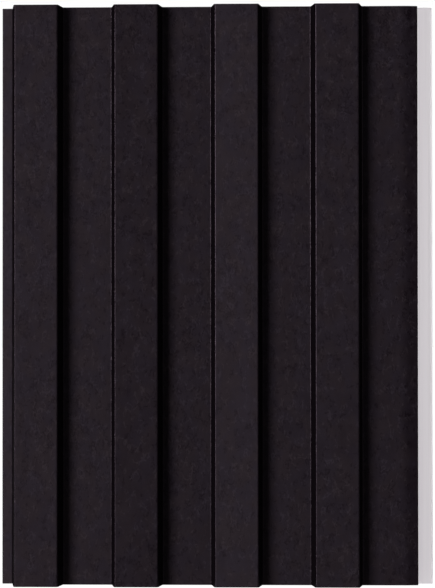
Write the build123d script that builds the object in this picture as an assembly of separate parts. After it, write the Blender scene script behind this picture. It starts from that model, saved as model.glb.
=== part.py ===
from build123d import *
import os

os.makedirs("parts", exist_ok=True)

# Slat wall panel, a short cut length. All sizes are in millimetres.
# The profile is drawn as it is cut across: X runs from the tongue on the left to the flange
# on the right, Y runs from the room (minus) to the wall (plus), and Z runs up the slats.
# The origin is on the wall face, at the middle of the cover width and of the length.

# Length and slat pattern
panel_length = 174.0
slat_count = 4
slat_pitch = 30.0
slat_foot_width = 15.2  # across one slat where it meets the recess floor
slat_relief = 6.0  # from the recess floor to the face of a slat
slat_draft = 1.0  # each side wall leans in by this much from foot to face
slat_edge_radius = 0.7
slat_foot_radius = 0.5
last_recess_width = 16.8  # from the last slat's foot to the nose of the lip

# Layers of the tongue and groove joint, from the room to the wall
lip_thickness = 2.1
tongue_thickness = 1.7
flange_thickness = 2.0
layer_clearance = 0.1  # left on each flat side of a fitted tongue

# Reaches of the joint, across the panel
tongue_reach = 3.4  # beyond the foot of the first slat
flange_reach = 4.6  # beyond the nose of the lip
end_clearance = 0.3  # left at the tip of a fitted tongue, and of a fitted flange

# Edges of the joint
lip_bevel_width = 3.7
lip_nose_height = 1.65  # the upright edge that the bevel leaves
lip_bevel_blend = 12.0  # radius from the recess floor into the bevel
lip_edge_radius = 0.3
tongue_tip_radius = 0.4
flange_tip_radius = 0.5

# Decor film, wrapped over the front and round both edges of the joint
film_thickness = 0.2
film_return = 1.8  # how far the film turns in under the lip, and under the tongue

# Layer positions, from the wall face at zero towards the room
flange_front = -flange_thickness
tongue_back = flange_front - layer_clearance
tongue_front = tongue_back - tongue_thickness
lip_back = tongue_front - layer_clearance
recess_floor = lip_back - lip_thickness
slat_face = recess_floor - slat_relief

# Places across the panel
cover_width = (slat_count - 1) * slat_pitch + slat_foot_width + last_recess_width
first_foot = -cover_width / 2
lip_nose = first_foot + cover_width
tongue_tip = first_foot - tongue_reach
flange_tip = lip_nose + flange_reach
groove_bottom = lip_nose - tongue_reach - end_clearance
rebate_end = first_foot + flange_reach + end_clearance
bevel_start = lip_nose - lip_bevel_width
bevel_foot = lip_back - lip_nose_height
slat_feet = [first_foot + index * slat_pitch for index in range(slat_count)]


def rounded(section, corners, radius):
    # Rounds the corners of a flat section that lie nearest to the given points.
    picked = [section.vertices().sort_by_distance((x, y, 0))[0] for x, y in corners]
    return fillet(picked, radius)


def base_section():
    # The plate with its tongue on the left, and its lip, groove and flange on the right.
    return make_face(
        Polyline(
            (rebate_end, 0),
            (flange_tip, 0),
            (flange_tip, flange_front),
            (groove_bottom, flange_front),
            (groove_bottom, lip_back),
            (lip_nose, lip_back),
            (lip_nose, bevel_foot),
            (bevel_start, recess_floor),
            (first_foot, recess_floor),
            (first_foot, tongue_front),
            (tongue_tip, tongue_front),
            (tongue_tip, tongue_back),
            (rebate_end, tongue_back),
            close=True,
        )
    )


def slat_section(foot):
    # One slat, from its left foot: a bar whose side walls lean in towards the face.
    return make_face(
        Polyline(
            (foot, recess_floor),
            (foot + slat_draft, slat_face),
            (foot + slat_foot_width - slat_draft, slat_face),
            (foot + slat_foot_width, recess_floor),
            close=True,
        )
    )


def finished_section():
    # The whole profile as it leaves the line, film included, with every edge rounded.
    section = base_section()
    for foot in slat_feet:
        section = section + slat_section(foot)

    crests = []
    hollows = []
    for foot in slat_feet:
        far_foot = foot + slat_foot_width
        crests += [(foot + slat_draft, slat_face), (far_foot - slat_draft, slat_face)]
        hollows.append((far_foot, recess_floor))
        if foot != first_foot:
            hollows.append((foot, recess_floor))

    section = rounded(section, crests, slat_edge_radius)
    section = rounded(section, hollows, slat_foot_radius)
    section = rounded(section, [(bevel_start, recess_floor)], lip_bevel_blend)
    section = rounded(section, [(lip_nose, bevel_foot), (lip_nose, lip_back)], lip_edge_radius)
    section = rounded(section, [(first_foot, tongue_front)], lip_edge_radius)
    section = rounded(
        section, [(tongue_tip, tongue_front), (tongue_tip, tongue_back)], tongue_tip_radius
    )
    section = rounded(section, [(flange_tip, flange_front)], flange_tip_radius)
    return section


def zone(left, right, front, back):
    # A plain rectangle between two places across the panel and two layer positions.
    return Pos((left + right) / 2, (front + back) / 2) * Rectangle(right - left, back - front)


def wrapped_zone():
    # Where the film lies: all of the front, the tongue's tip and the lip's nose. The flange,
    # the groove, the rebate and the wall face stay bare.
    margin = slat_relief  # keeps the zone's outer sides clear of the profile
    tongue_middle = (tongue_front + tongue_back) / 2
    front = zone(
        tongue_tip - margin, lip_nose + margin, slat_face - margin, lip_back - film_thickness
    )
    over_tongue = zone(
        tongue_tip - margin, first_foot + film_thickness, slat_face - margin, tongue_middle
    )
    round_tongue = zone(
        tongue_tip - margin, tongue_tip + film_return, slat_face - margin, tongue_back + margin
    )
    round_nose = zone(
        lip_nose - film_return, lip_nose + margin, slat_face - margin, tongue_middle
    )
    return front + over_tongue + round_tongue + round_nose


def film_section(section):
    # The film is the outer skin of the finished profile, wherever it is wrapped.
    inner = offset(section, -film_thickness, kind=Kind.INTERSECTION)
    skin = section - inner
    return skin & wrapped_zone()


def extruded(section):
    # A section drawn out along the slats, with the origin half-way up.
    return Pos(0, 0, -panel_length / 2) * extrude(section, panel_length)


profile = finished_section()
film = film_section(profile)

core_profile = extruded(profile - film)
decor_film = extruded(film)

export_step(core_profile, "parts/core_profile.step")
export_step(decor_film, "parts/decor_film.step")
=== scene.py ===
import bpy
import math
from mathutils import Euler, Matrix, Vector


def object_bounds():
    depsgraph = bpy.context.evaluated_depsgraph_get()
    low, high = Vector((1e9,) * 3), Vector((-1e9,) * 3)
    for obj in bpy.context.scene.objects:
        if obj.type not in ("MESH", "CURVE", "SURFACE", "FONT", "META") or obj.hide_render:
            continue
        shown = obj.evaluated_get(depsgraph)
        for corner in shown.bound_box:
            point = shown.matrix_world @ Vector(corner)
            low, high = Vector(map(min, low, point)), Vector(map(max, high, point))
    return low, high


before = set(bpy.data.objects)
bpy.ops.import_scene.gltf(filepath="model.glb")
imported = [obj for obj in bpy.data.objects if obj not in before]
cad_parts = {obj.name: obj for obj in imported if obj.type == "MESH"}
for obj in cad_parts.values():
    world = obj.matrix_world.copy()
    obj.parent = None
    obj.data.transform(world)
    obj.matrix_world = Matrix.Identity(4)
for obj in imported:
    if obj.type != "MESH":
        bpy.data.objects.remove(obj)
cadBox = [list(corner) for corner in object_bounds()]
low, high = (Vector(corner) for corner in cadBox)
middle = (low + high) / 2
mm = 0.001  # one millimetre
print("panel read")


# shader maths

class Signal:
    # one socket, with the usual operators
    def __init__(self, maker, socket):
        self.maker = maker
        self.socket = socket

    def other(self, name):
        # another output of the same node
        return Signal(self.maker, self.socket.node.outputs[name])

    def math(self, operation, first, second):
        return self.maker.node("ShaderNodeMath", {"operation": operation}, [first, second])

    def __add__(self, other):
        return self.math("ADD", self, other)

    def __sub__(self, other):
        return self.math("SUBTRACT", self, other)

    def __rsub__(self, other):
        return self.math("SUBTRACT", other, self)

    def __mul__(self, other):
        return self.math("MULTIPLY", self, other)

    def __gt__(self, other):
        return self.math("GREATER_THAN", self, other)

    def __lt__(self, other):
        return self.math("LESS_THAN", self, other)

    __radd__ = __add__
    __rmul__ = __mul__


def opaque(colour):
    return (*colour, 1.0)


class Finish:
    # the nodes of one material, or of the world
    def __init__(self, owner):
        self.owner = owner
        owner.use_nodes = True
        self.tree = owner.node_tree
        self.tree.nodes.clear()

    def node(self, kind, settings=None, inputs=None, out=0):
        made = self.tree.nodes.new(kind)
        for key, value in (settings or {}).items():
            setattr(made, key, value)
        named = inputs.items() if isinstance(inputs, dict) else enumerate(inputs or [])
        for key, value in named:
            if isinstance(value, Signal):
                self.tree.links.new(value.socket, made.inputs[key])
            else:
                made.inputs[key].default_value = value
        return Signal(self, made.outputs[out]) if made.outputs else None

    def place(self):
        # where a point lies on the panel, in metres
        return self.node("ShaderNodeTexCoord", out="Object")

    def facing(self, axis):
        # how squarely a surface faces along an axis, from -1 to 1
        normal = self.node("ShaderNodeNewGeometry", out="Normal")
        return self.node("ShaderNodeSeparateXYZ", None, [normal]).other(axis)

    def stretch(self, place, factors):
        # a factor below 1 draws a pattern out along that axis
        return self.node("ShaderNodeVectorMath", {"operation": "MULTIPLY"}, [place, factors])

    def noise(self, place, size, detail=2.0, roughness=0.5):
        # size is that of the coarsest patches, in millimetres
        return self.node("ShaderNodeTexNoise", {"noise_dimensions": "3D"}, {
            "Vector": place,
            "Scale": 1 / (size * mm),
            "Detail": detail,
            "Roughness": roughness,
        })

    def ease(self, value, start, end):
        # 0 below start, 1 above end, smooth between
        return self.node("ShaderNodeMapRange", {"interpolation_type": "SMOOTHSTEP"},
                         {"Value": value, "From Min": start, "From Max": end})

    def mix(self, factor, first, second):
        # a mix of two colours
        first, second = (value if isinstance(value, Signal) else opaque(value)
                         for value in (first, second))
        return self.node("ShaderNodeMix", {"data_type": "RGBA"},
                         {0: factor, 6: first, 7: second}, out=2)

    def bump(self, height, depth):
        # depth is in millimetres, for a height of 1
        return self.node("ShaderNodeBump", None,
                         {"Strength": 1.0, "Distance": depth * mm, "Height": height})

    def done(self, shader, kind="ShaderNodeOutputMaterial"):
        self.node(kind, None, {"Surface": shader})
        return self.owner


# decor film
# sizes and depths are in millimetres, and pairs are where a change starts and ends

film = {
    "ink": (0.0020, 0.0004, 0.0017),  # where nothing scatters light
    "wall": (0.0066, 0.0046, 0.0062),  # painted shade on the side walls: a dark matt copy of the film, which takes no gloss at all
    "wallTurn": (0.1, 0.5),  # how squarely it faces the room, where the painted shade of a wall gives way to the film on a rounding
    "warmBloom": (0.0450, 0.0345, 0.0405),  # what the emboss scatters from a flat stretch
    "coolBloom": (0.0412, 0.0332, 0.0442),
    "hueSize": 6.0,
    "hueStretch": (1, 1, 0.8),
    "hueTurn": (0.4, 0.6),
    "slatBloom": (0.468, 0.312, 0.545, 0.388),  # from the tongue side to the flange side
    "recessBloom": (0.470, 0.380, 0.408, 0.346),
    "tongueBloom": 0.76,
    # painted shade on the lip's bevel, darker where it turns from the light
    "lipShadeBloom": 0.155,
    "bloomShadeTurn": (0.72, 0.995),  # fades over the roundings as they turn sideways, which is painted shade
    "roughness": 0.70,
    "edgeRoughness": 0.26,  # where the film is drawn over an edge
    "edgeTurn": (0.94, 0.998),
    "specular": 0.15,
    "specularTint": (1.0, 0.78, 0.97),
}

emboss = {
    "cloudSize": 6.0,
    "cloudDetail": 4.0,
    "cloudContrast": 0.6,
    "cloudShare": 0.45,  # of the bloom
    "cloudRoughness": 0.1,
    "grainSize": 1.2,
    "grainDetail": 3.0,
    "grainStretch": (1, 1, 0.6),
    "grainDepth": 0.060,
    "strokeSize": 1.15,
    "strokeFade": (0.0004, 0.0040),  # squared distance from the middle line of a stroke
    "strokeDepth": 0.030,
    "raisedShare": 0.24,
    "raisedStretch": (1, 1, 0.7),
    "sunkShare": 0.19,
    "sunkStretch": (1.1, 1, 0.8),
    "sunkSize": 0.9,  # against the raised ones
    "groupSize": 1.8,  # against the strokes
    "groupTurn": (0.50, 0.60),
    "patchSize": 24.0,  # stretches with more strokes and with fewer
    "patchShare": 0.25,
}

# where the parts of the profile lie, in millimetres across from the middle
profile = {
    "firstFoot": -61.0,  # the foot of the first slat
    "pitch": 30.0,
    "faceFront": -9.0,  # nearer the room than this is a slat's face
    "corner": (-61.65, -61.35),  # painted shade in the inner corner between the tongue and the first slat, where the scatter fades out
    "lip": (54.6, 58.8),  # where the last recess bends down into the lip, and where the painted shade of the lip comes in
}


def pair(values):
    # a pair of places in metres
    return [value * mm for value in values]


def filmBloom(m, place):
    # how much a flat stretch scatters, which differs a little from slat to slat; the lip's bevel
    # gets a lower tone, which is painted shade, and so does the inner corner by the first slat
    across = m.node("ShaderNodeSeparateXYZ", None, [place])
    slat, recess = 0.0, film["tongueBloom"]
    slatBefore, recessBefore = slat, recess
    for index, (slatHere, recessHere) in enumerate(zip(film["slatBloom"], film["recessBloom"])):
        passed = across > (profile["firstFoot"] + profile["pitch"] * index) * mm
        slat = passed * (slatHere - slatBefore) + slat
        recess = passed * (recessHere - recessBefore) + recess
        slatBefore, recessBefore = slatHere, recessHere
    # the lip's bevel takes a lower tone, which is painted shade
    onLip = m.ease(across, *pair(profile["lip"]))
    recess = onLip * (film["lipShadeBloom"] - recessBefore) + recess
    onFace = across.other("Y") < profile["faceFront"] * mm
    # painted shade: the scatter fades out in the inner corner by the first slat
    paintedCornerShade = m.ease(across, *pair(profile["corner"])) * (across < profile["firstFoot"] * mm)
    return (onFace * (slat - recess) + recess) * (1 - paintedCornerShade)


def strokes(m, place, size):
    # short curly strokes, scattered in loose groups
    line = m.noise(place, size) - 0.5
    patch = m.noise(place, emboss["patchSize"]) - 0.5
    group = m.noise(place, size * emboss["groupSize"]) + patch * emboss["patchShare"]
    return (1 - m.ease(line * line, *emboss["strokeFade"])) * m.ease(group, *emboss["groupTurn"])


def filmFinish():
    m = Finish(bpy.data.materials.new("mattBlackFilm"))
    place = m.place()
    cloud = m.noise(place, emboss["cloudSize"], emboss["cloudDetail"], emboss["cloudContrast"])
    cloud = cloud - 0.5
    hue = m.ease(m.noise(m.stretch(place, film["hueStretch"]), film["hueSize"]), *film["hueTurn"])
    grain = m.noise(m.stretch(place, emboss["grainStretch"]), emboss["grainSize"],
                    emboss["grainDetail"])
    raised = strokes(m, m.stretch(place, emboss["raisedStretch"]), emboss["strokeSize"])
    sunk = strokes(m, m.stretch(place, emboss["sunkStretch"]),
                   emboss["strokeSize"] * emboss["sunkSize"])

    outward = m.facing("Y") * -1
    bloom = filmBloom(m, place) + cloud * emboss["cloudShare"]
    bloom = bloom + raised * emboss["raisedShare"] - sunk * emboss["sunkShare"]
    # the scatter fades as the surface turns sideways: painted shade on the roundings
    bloom = bloom * m.ease(outward, *film["bloomShadeTurn"])
    embossed = m.ease(outward, *film["edgeTurn"])
    roughness = embossed * (film["roughness"] - film["edgeRoughness"]) + film["edgeRoughness"]
    height = grain * (emboss["grainDepth"] / emboss["strokeDepth"]) + raised - sunk
    flat = m.node("ShaderNodeBsdfPrincipled", None, {
        "Base Color": m.mix(bloom, film["ink"], m.mix(hue, film["warmBloom"], film["coolBloom"])),
        "Roughness": cloud * emboss["cloudRoughness"] + roughness,
        "Specular IOR Level": film["specular"],
        "Specular Tint": opaque(film["specularTint"]),
        "Normal": m.bump(height, emboss["strokeDepth"]),
    })
    # the side walls get a dark matt copy of the film in place of the lit film, which is painted
    # shade
    wall = m.node("ShaderNodeBsdfDiffuse", None, {"Color": opaque(film["wall"])})
    offWallShade = m.ease(outward, *film["wallTurn"])
    return m.done(m.node("ShaderNodeMixShader", None, [offWallShade, wall, flat]))


# bare core
# sizes and depths are in millimetres here too

core = {
    "colour": (0.648, 0.614, 0.640),
    "roughness": 0.62,
    "specular": 0.3,
    "sawnTurn": (0.4, 0.6),  # squared facing along the slats, so both cut ends
    "sawnRoughness": 0.2,  # on top of the other
    # painted shade in the hollows of the sawn cells, which are drawn darker
    "poreShade": (0.50, 0.475, 0.495),
    "poreShadeShare": 0.8,
    "cellSize": 0.55,
    "cellFade": (0.15, 0.6),
    "cellDepth": 0.12,
    "streak": (0.623, 0.590, 0.615),
    "streakSize": 1.2,
    "streakDetail": 3.0,
    "streakStretch": (1, 1, 0.01),  # drawn out along the length
    "streakTurn": (0.35, 0.65),
    "streakDepth": 0.016,
}


def coreFinish():
    m = Finish(bpy.data.materials.new("bareFoamCore"))
    place = m.place()
    upward = m.facing("Z")
    sawn = m.ease(upward * upward, *core["sawnTurn"])

    cells = m.node("ShaderNodeTexVoronoi", {"feature": "F1"},
                   {"Vector": place, "Scale": 1 / (core["cellSize"] * mm)}, out="Distance")
    cells = (1 - m.ease(cells, *core["cellFade"])) * sawn
    streaks = m.noise(m.stretch(place, core["streakStretch"]), core["streakSize"],
                      core["streakDetail"])
    streaks = m.ease(streaks, *core["streakTurn"]) * (1 - sawn)
    height = cells * -1 - streaks * (core["streakDepth"] / core["cellDepth"])
    colour = m.mix(streaks, core["colour"], core["streak"])
    return m.done(m.node("ShaderNodeBsdfPrincipled", None, {
        # the sawn cells' hollows are drawn darker, which is painted shade
        "Base Color": m.mix(cells * core["poreShadeShare"], colour, core["poreShade"]),
        "Roughness": sawn * core["sawnRoughness"] + core["roughness"],
        "Specular IOR Level": core["specular"],
        "Normal": m.bump(height, core["cellDepth"]),
    }))


def dress(nodeName, material):
    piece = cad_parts[nodeName]
    piece.data.materials.clear()
    piece.data.materials.append(material)
    return piece


filmPiece = dress("decor_film", filmFinish())
corePiece = dress("core_profile", coreFinish())
print("materials on the profile and its film")


# studio
# lengths are in metres and angles in degrees

studio = {
    "ambient": 0.008,
    "background": (1.0, 1.0, 1.0),
    "floorSize": 12.0,
    "floorColour": (0.80, 0.80, 0.80),
    "floorGlow": 0.82,
    "sunLevel": 1.0,
    "sunSpread": 14,
    "sunTilt": 35,
}

# turn is to the left of straight in front, tilt is upwards, and level 1 is plain light
lamps = {
    "keyLamp": {
        "lights": "film", "turn": 36, "tilt": 0, "away": 6.0, "size": 2.4, "level": 1.0},
    "coreLamp": {
        "lights": "core", "turn": -30, "tilt": 0, "away": 1.3, "size": 0.65, "level": 1.20},
    "rightLamp": {
        "lights": "film", "turn": -68, "tilt": 10, "away": 1.3, "size": 0.5, "level": 0.03},
    "backLeftLamp": {
        "lights": "core", "turn": 145, "tilt": 25, "away": 1.5, "size": 0.9, "level": 0.48},
    "backRightLamp": {
        "lights": "core", "turn": -130, "tilt": 15, "away": 1.5, "size": 0.9, "level": 0.28},
    "topLamp": {
        "lights": "panel", "turn": 180, "tilt": 70, "away": 1.3, "size": 0.6, "level": 0.52},
}


def studioWorld():
    # white to the camera, and nearly dark to everything else
    world = bpy.data.worlds.new("studioWorld")
    bpy.context.scene.world = world
    m = Finish(world)
    seen = m.node("ShaderNodeLightPath", out="Is Camera Ray")
    dim = m.node("ShaderNodeBackground", None, {"Strength": studio["ambient"]})
    white = m.node("ShaderNodeBackground", None,
                   {"Color": opaque(studio["background"]), "Strength": 1.0})
    m.done(m.node("ShaderNodeMixShader", None, [seen, dim, white]), "ShaderNodeOutputWorld")


def studioFloor():
    # pale, and close to white to the camera, so that only a soft shadow shows
    bpy.ops.mesh.primitive_plane_add(size=studio["floorSize"], location=(0, 0, low.z))
    plane = bpy.context.object
    plane.name = "studioFloor"
    m = Finish(bpy.data.materials.new("paleFloor"))
    seen = m.node("ShaderNodeLightPath", out="Is Camera Ray")
    pale = m.node("ShaderNodeBsdfDiffuse", None, {"Color": opaque(studio["floorColour"])})
    glow = m.node("ShaderNodeEmission", None, {"Strength": studio["floorGlow"]})
    glowing = m.node("ShaderNodeAddShader", None, [pale, glow])
    plane.data.materials.append(m.done(m.node("ShaderNodeMixShader", None, [seen, pale, glowing])))
    return plane


def litGroup(name, *members):
    # what a lamp lights, through light linking
    made = bpy.data.collections.new(name)
    for member in members:
        made.objects.link(member)
    return made


def floorSun():
    # a soft light for the floor alone, so that the panel leaves its shadow there, behind itself
    data = bpy.data.lights.new("floorSun", "SUN")
    data.energy = studio["sunLevel"]
    data.angle = math.radians(studio["sunSpread"])
    sun = bpy.data.objects.new("floorSun", data)
    bpy.context.scene.collection.objects.link(sun)
    sun.rotation_euler = (math.radians(studio["sunTilt"]), 0, 0)
    sun.light_linking.receiver_collection = lit["floor"]


def addLamp(name, lights, turn, tilt, away, size, level):
    data = bpy.data.lights.new(name, "AREA")
    data.shape = "SQUARE"
    data.size = size
    data.energy = level * 4 * math.pi * away ** 2
    lamp = bpy.data.objects.new(name, data)
    bpy.context.scene.collection.objects.link(lamp)
    turn, tilt = math.radians(turn), math.radians(tilt)
    flat = math.cos(tilt)
    towards = Vector((-math.sin(turn) * flat, -math.cos(turn) * flat, math.sin(tilt)))
    lamp.location = middle + towards * away
    lamp.rotation_euler = towards.to_track_quat("Z", "Y").to_euler()
    lamp.light_linking.receiver_collection = lit[lights]


studioWorld()
floorPlane = studioFloor()
lit = {
    "film": litGroup("litFilm", filmPiece),
    "core": litGroup("litCore", corePiece),
    "panel": litGroup("litPanel", filmPiece, corePiece),
    "floor": litGroup("litFloor", floorPlane),
}
floorSun()
for lampName, settings in lamps.items():
    addLamp(lampName, **settings)
print("studio and lamps")


# camera

view = {
    "frameHeight": 588,  # pixels
    "focalLength": 2150,  # pixels
    "place": (17.62, -652.6, -8.0),  # millimetres
    "pitch": 0.745,  # degrees, as are the next two
    "roll": 0.05,
    "yaw": 1.49,
    "sensorHeight": 24.0,  # millimetres
    "nearest": 0.01,  # metres
}


def placeCamera():
    data = bpy.data.cameras.new("photoCamera")
    data.sensor_fit = "VERTICAL"
    data.sensor_height = view["sensorHeight"]
    data.lens = view["sensorHeight"] * view["focalLength"] / view["frameHeight"]
    data.clip_start = view["nearest"]
    camera = bpy.data.objects.new("photoCamera", data)
    bpy.context.scene.collection.objects.link(camera)
    camera.location = Vector(view["place"]) * mm
    levelled = Euler((math.radians(90), 0, 0)).to_matrix()  # looks along Y, at the slats
    turned = Euler([math.radians(view[key]) for key in ("pitch", "roll", "yaw")], "YXZ").to_matrix()
    camera.rotation_euler = (turned @ levelled).to_euler()
    bpy.context.scene.camera = camera


placeCamera()
bpy.context.scene.view_settings.view_transform = "Standard"
print("camera")
